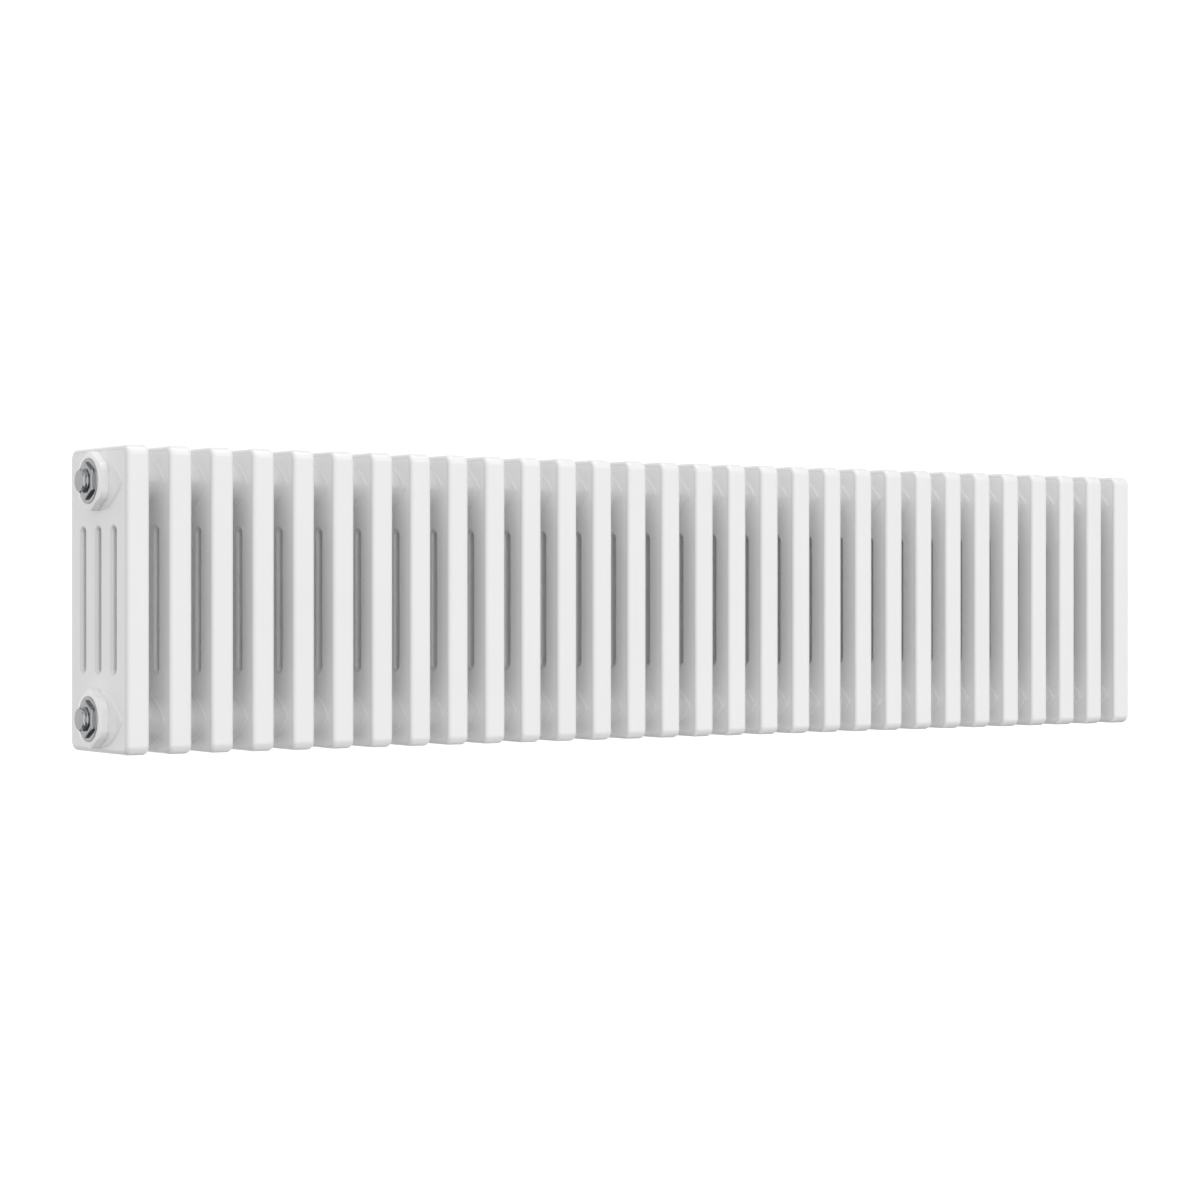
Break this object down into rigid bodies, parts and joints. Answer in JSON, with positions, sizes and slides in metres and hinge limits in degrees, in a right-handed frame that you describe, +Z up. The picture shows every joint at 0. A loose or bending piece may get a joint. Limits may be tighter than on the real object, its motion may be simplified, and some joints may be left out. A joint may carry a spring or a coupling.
{
  "type": "steel column radiator",
  "caption": "Long low white steel column radiator, four columns deep, with hexagonal end bushes, chrome vent and drain plugs on the left and open valve ports on the right.",
  "frame": {"origin": "under the middle of the whole object's box, on the plane of the sections' undersides", "axes": "X along the row of sections, towards the open ports; -Y is the room side and +Y the wall side; +Z up; the vent and drain plugs are at the -X end"},
  "size_m": [1.361, 0.135, 0.3],
  "materials": {
    "section_enamel": "smooth white baked enamel with a soft gloss over pressed steel",
    "bush_enamel": "glossy white enamel over a machined steel hexagon",
    "plug_chrome": "polished chrome plate over brass",
    "screw_chrome": "polished chrome plate over brass",
    "seal_rubber": "matt black moulded rubber ring",
    "washer_rubber": "matt black moulded rubber washer"
  },
  "bodies": {
    "radiator": {"section_01": "section_enamel", "section_02": "section_enamel", "section_03": "section_enamel", "section_04": "section_enamel", "section_05": "section_enamel", "section_06": "section_enamel", "section_07": "section_enamel", "section_08": "section_enamel", "section_09": "section_enamel", "section_10": "section_enamel", "section_11": "section_enamel", "section_12": "section_enamel", "section_13": "section_enamel", "section_14": "section_enamel", "section_15": "section_enamel", "section_16": "section_enamel", "section_17": "section_enamel", "section_18": "section_enamel", "section_19": "section_enamel", "section_20": "section_enamel", "section_21": "section_enamel", "section_22": "section_enamel", "section_23": "section_enamel", "section_24": "section_enamel", "section_25": "section_enamel", "section_26": "section_enamel", "section_27": "section_enamel", "section_28": "section_enamel", "section_29": "section_enamel", "section_30": "section_enamel", "upper_left_bush": "bush_enamel", "upper_right_bush": "bush_enamel", "lower_left_bush": "bush_enamel", "lower_right_bush": "bush_enamel", "upper_left_bush_seal": "seal_rubber", "upper_right_bush_seal": "seal_rubber", "lower_left_bush_seal": "seal_rubber", "lower_right_bush_seal": "seal_rubber", "vent_plug": "plug_chrome", "vent_plug_seal": "seal_rubber", "drain_plug": "plug_chrome", "drain_plug_seal": "seal_rubber"},
    "vent_washer": {"vent_screw_washer": "washer_rubber"},
    "vent_screw": {"vent_screw": "screw_chrome"},
    "drain_washer": {"drain_screw_washer": "washer_rubber"},
    "drain_screw": {"drain_screw": "screw_chrome"}
  },
  "joints": [
    {"name": "vent_screw_travel", "type": "slide", "parent": "radiator", "child": "vent_washer", "axis": [-1, 0, 0], "range_m": [0, 0.00125]},
    {"name": "drain_screw_travel", "type": "slide", "parent": "radiator", "child": "drain_washer", "axis": [-1, 0, 0], "range_m": [0, 0.00125]},
    {"name": "vent_screw_turn", "type": "hinge", "parent": "vent_washer", "child": "vent_screw", "pos_m": [-0.67785, 0, 0.26637], "axis": [-1, 0, 0], "range_deg": [0, 450]},
    {"name": "drain_screw_turn", "type": "hinge", "parent": "drain_washer", "child": "drain_screw", "pos_m": [-0.67785, 0, 0.03363], "axis": [-1, 0, 0], "range_deg": [0, 450]}
  ],
  "couplings": [
    {"joint": "vent_screw_turn", "follows": "vent_screw_travel", "rad_per_m": 6283.2},
    {"joint": "drain_screw_turn", "follows": "drain_screw_travel", "rad_per_m": 6283.2}
  ]
}
